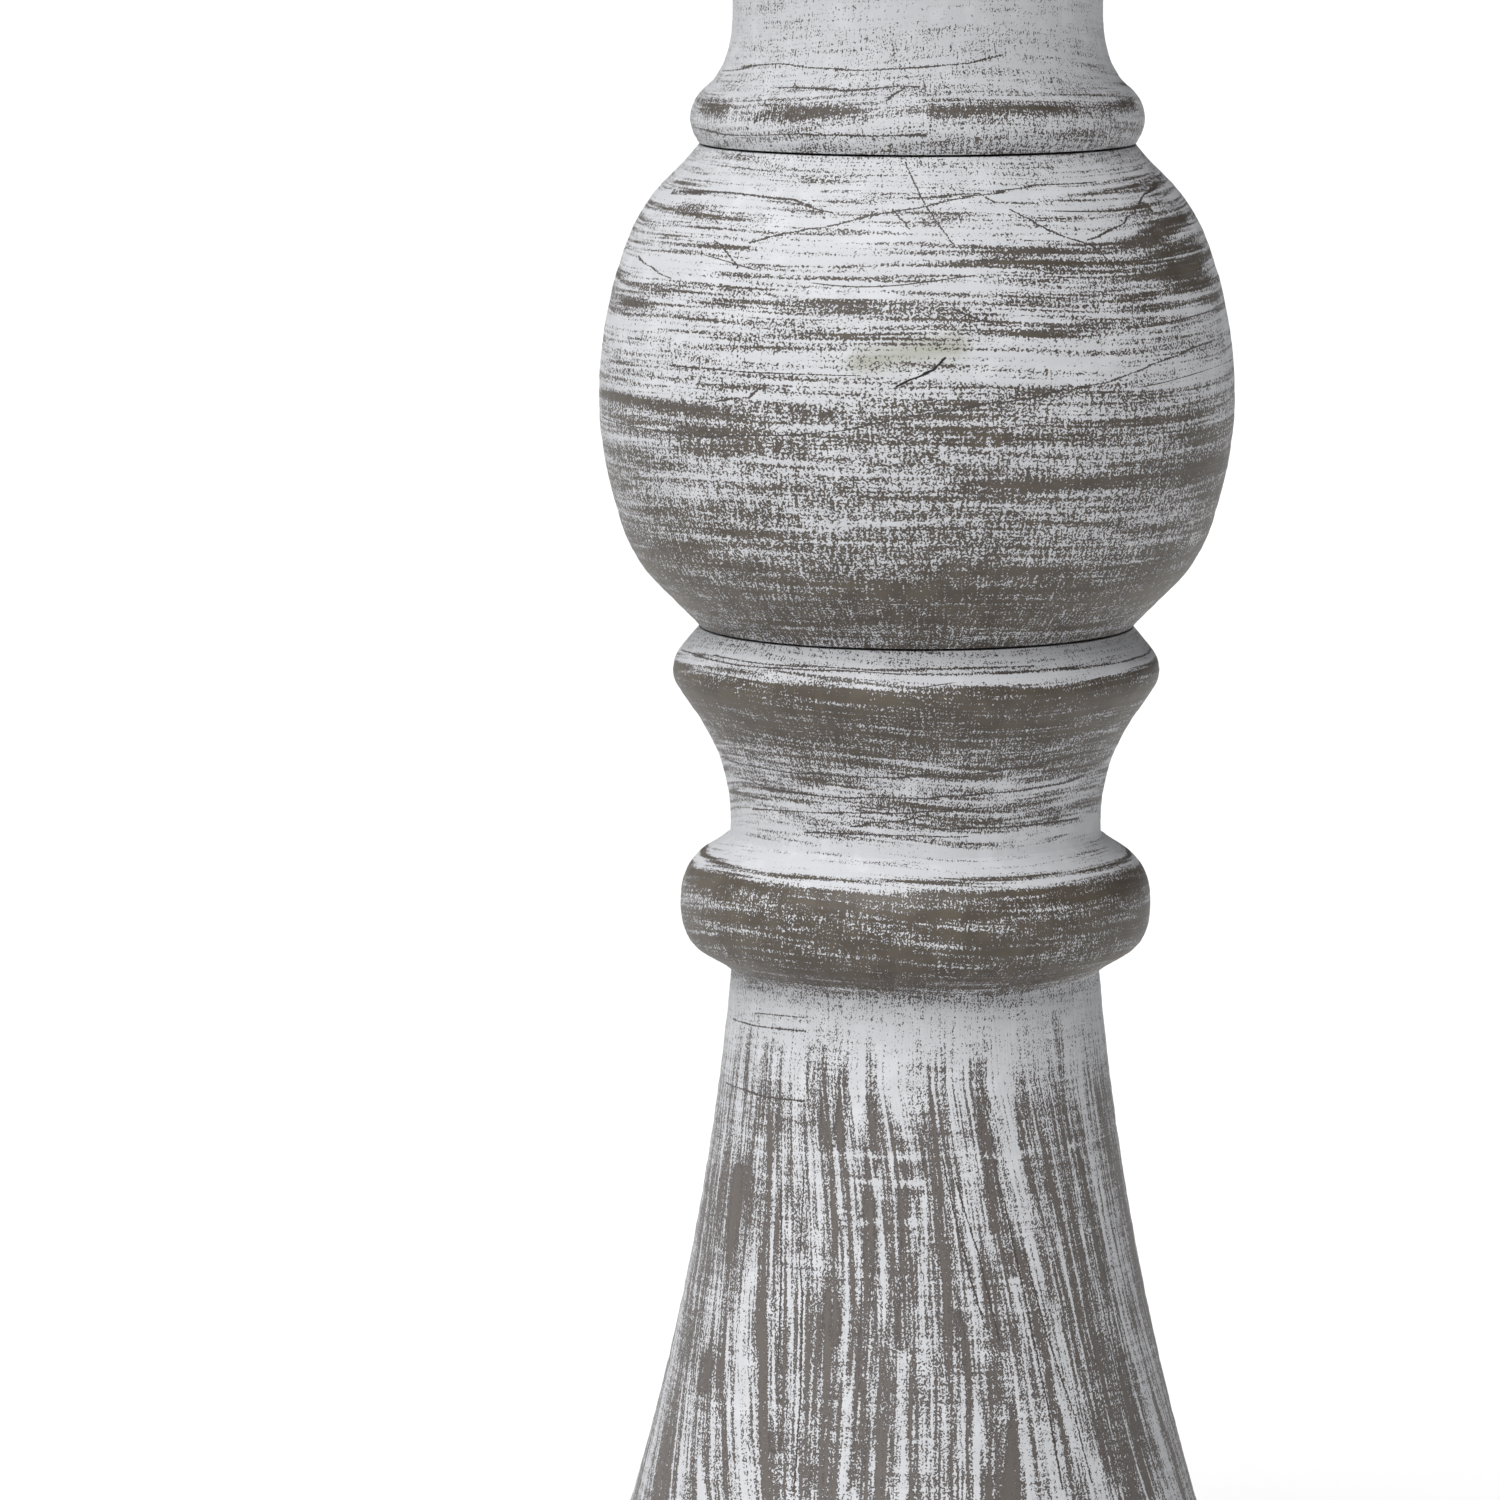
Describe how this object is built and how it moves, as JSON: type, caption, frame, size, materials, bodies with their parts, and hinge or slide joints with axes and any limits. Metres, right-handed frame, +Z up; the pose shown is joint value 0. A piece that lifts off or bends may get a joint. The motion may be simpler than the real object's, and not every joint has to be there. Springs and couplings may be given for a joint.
{
  "type": "wooden candlestick",
  "caption": "Turned, whitewashed wooden pillar candlestick whose foot column, ball and neck screw together, with a metal drip pan and spike on a dished plate.",
  "frame": {"origin": "centre of the foot on the table surface", "axes": "+Z up along the turning axis"},
  "size_m": [0.15, 0.15, 0.37],
  "materials": {
    "whitewashed_wood": "worn matte whitewash over dark brown wood",
    "steel": "zinc plated",
    "brass": "machined",
    "dark_iron": "matte black",
    "felt": "dense felt"
  },
  "bodies": {
    "base": {"felt_pads": "felt", "foot": "whitewashed_wood", "foot_bolt": "steel", "foot_washer": "steel", "foot_spring_washer": "steel", "column_insert": "brass", "lower_column": "whitewashed_wood"},
    "lower_stud": {"column_stud": "steel"},
    "ball": {"ball": "whitewashed_wood", "ball_insert": "brass"},
    "upper_stud": {"ball_stud": "steel"},
    "neck": {"neck": "whitewashed_wood", "neck_insert": "brass", "candle_plate": "whitewashed_wood", "plate_insert": "brass"},
    "pan": {"drip_pan": "dark_iron"},
    "pricket": {"pricket": "dark_iron"}
  },
  "joints": [
    {"name": "ball_screw_turn", "type": "hinge", "parent": "base", "child": "lower_stud", "pos_m": [0, 0, 0.1942], "axis": [0, 0, 1], "range_deg": [0, 4320]},
    {"name": "ball_screw_climb", "type": "slide", "parent": "lower_stud", "child": "ball", "axis": [0, 0, 1], "range_m": [0, 0.01501]},
    {"name": "neck_screw_turn", "type": "hinge", "parent": "ball", "child": "upper_stud", "pos_m": [0, 0, 0.26595], "axis": [0, 0, 1], "range_deg": [0, 4320]},
    {"name": "neck_screw_climb", "type": "slide", "parent": "upper_stud", "child": "neck", "axis": [0, 0, 1], "range_m": [0, 0.01501]},
    {"name": "pricket_screw_turn", "type": "hinge", "parent": "neck", "child": "pan", "pos_m": [0, 0, 0.344], "axis": [0, 0, 1], "range_deg": [0, 4320]},
    {"name": "pricket_screw_climb", "type": "slide", "parent": "pan", "child": "pricket", "axis": [0, 0, 1], "range_m": [0, 0.01201]}
  ],
  "couplings": [
    {"joint": "ball_screw_climb", "follows": "ball_screw_turn", "m_per_rad": 0.00019894},
    {"joint": "neck_screw_climb", "follows": "neck_screw_turn", "m_per_rad": 0.00019894},
    {"joint": "pricket_screw_climb", "follows": "pricket_screw_turn", "m_per_rad": 0.00015915}
  ]
}
